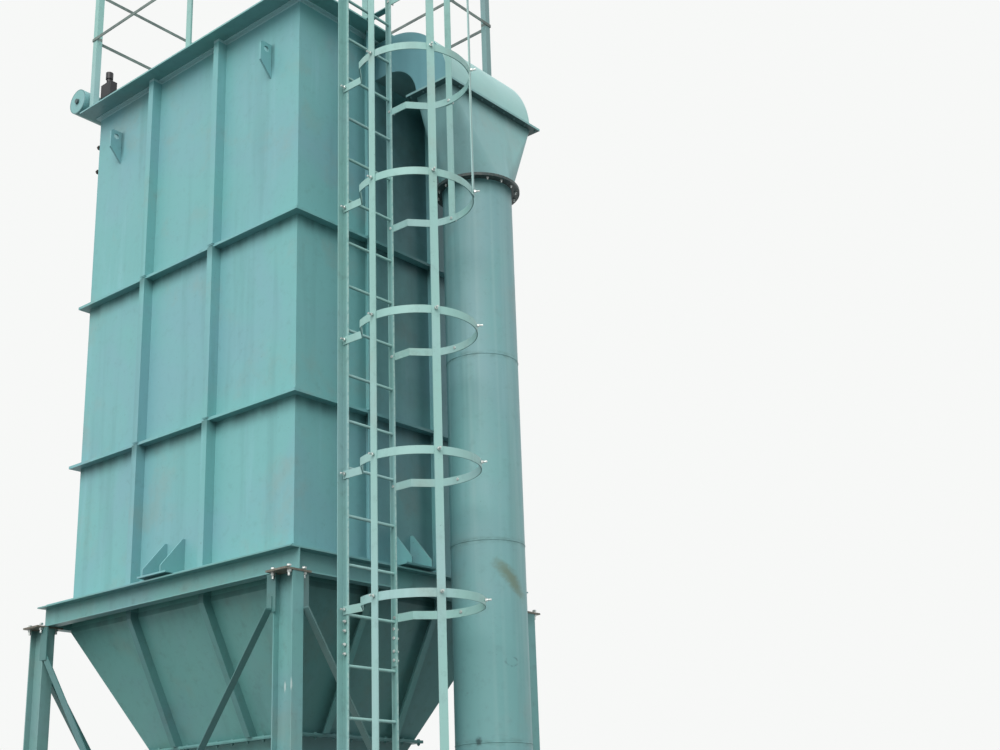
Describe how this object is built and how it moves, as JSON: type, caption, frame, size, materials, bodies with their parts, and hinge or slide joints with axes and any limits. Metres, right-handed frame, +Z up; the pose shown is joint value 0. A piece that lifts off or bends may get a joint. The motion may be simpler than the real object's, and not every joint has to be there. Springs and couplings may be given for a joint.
{
  "type": "baghouse dust collector",
  "caption": "Free-standing industrial bag filter: bolted steel casing on a braced frame, hopper, caged ladder, roof rail and side clean-air duct.",
  "frame": {"origin": "underside centre of the front right column's base plate, on the ground", "axes": "+Z up, +X from the casing towards the ladder and the clean-air duct, +Y from the front wall to the back"},
  "size_m": [3.7608, 2.484, 8.492],
  "materials": {
    "teal_paint": "semi-gloss, weathered",
    "zinc_steel": "galvanised, dull",
    "cast_valve": "cast",
    "black_plastic": "matte"
  },
  "bodies": {
    "root": {"air_regulator": "black_plastic", "beam_back": "teal_paint", "beam_front": "teal_paint", "beam_left": "teal_paint", "beam_right": "teal_paint", "blow_pipes": "zinc_steel", "bracing_back": "teal_paint", "bracing_front": "teal_paint", "bracing_left": "teal_paint", "bracing_right": "teal_paint", "cage_hoops_lower": "teal_paint", "cage_hoops_upper": "teal_paint", "cage_straps": "teal_paint", "casing_lower": "teal_paint", "casing_middle": "teal_paint", "casing_upper": "teal_paint", "column_back_left": "teal_paint", "column_back_right": "teal_paint", "column_front_left": "teal_paint", "column_front_right": "teal_paint", "duct_legs": "teal_paint", "gate_frame": "teal_paint", "gate_plate": "zinc_steel", "guard_back": "teal_paint", "guard_front": "teal_paint", "guard_left": "teal_paint", "guard_right": "teal_paint", "header_ends": "teal_paint", "header_saddles": "teal_paint", "header_tank": "teal_paint", "hopper_lower": "teal_paint", "hopper_ribs": "teal_paint", "hopper_upper": "teal_paint", "ladder_brackets": "teal_paint", "ladder_rungs": "teal_paint", "ladder_stiles": "teal_paint", "lifting_lugs": "teal_paint", "outlet_duct": "teal_paint", "outlet_elbow": "teal_paint", "outlet_transition": "teal_paint", "pulse_valves": "cast_valve", "roof_hatches": "teal_paint", "roof_plate": "teal_paint", "wall_brackets": "teal_paint", "wall_stiffeners": "teal_paint"}
  },
  "joints": []
}
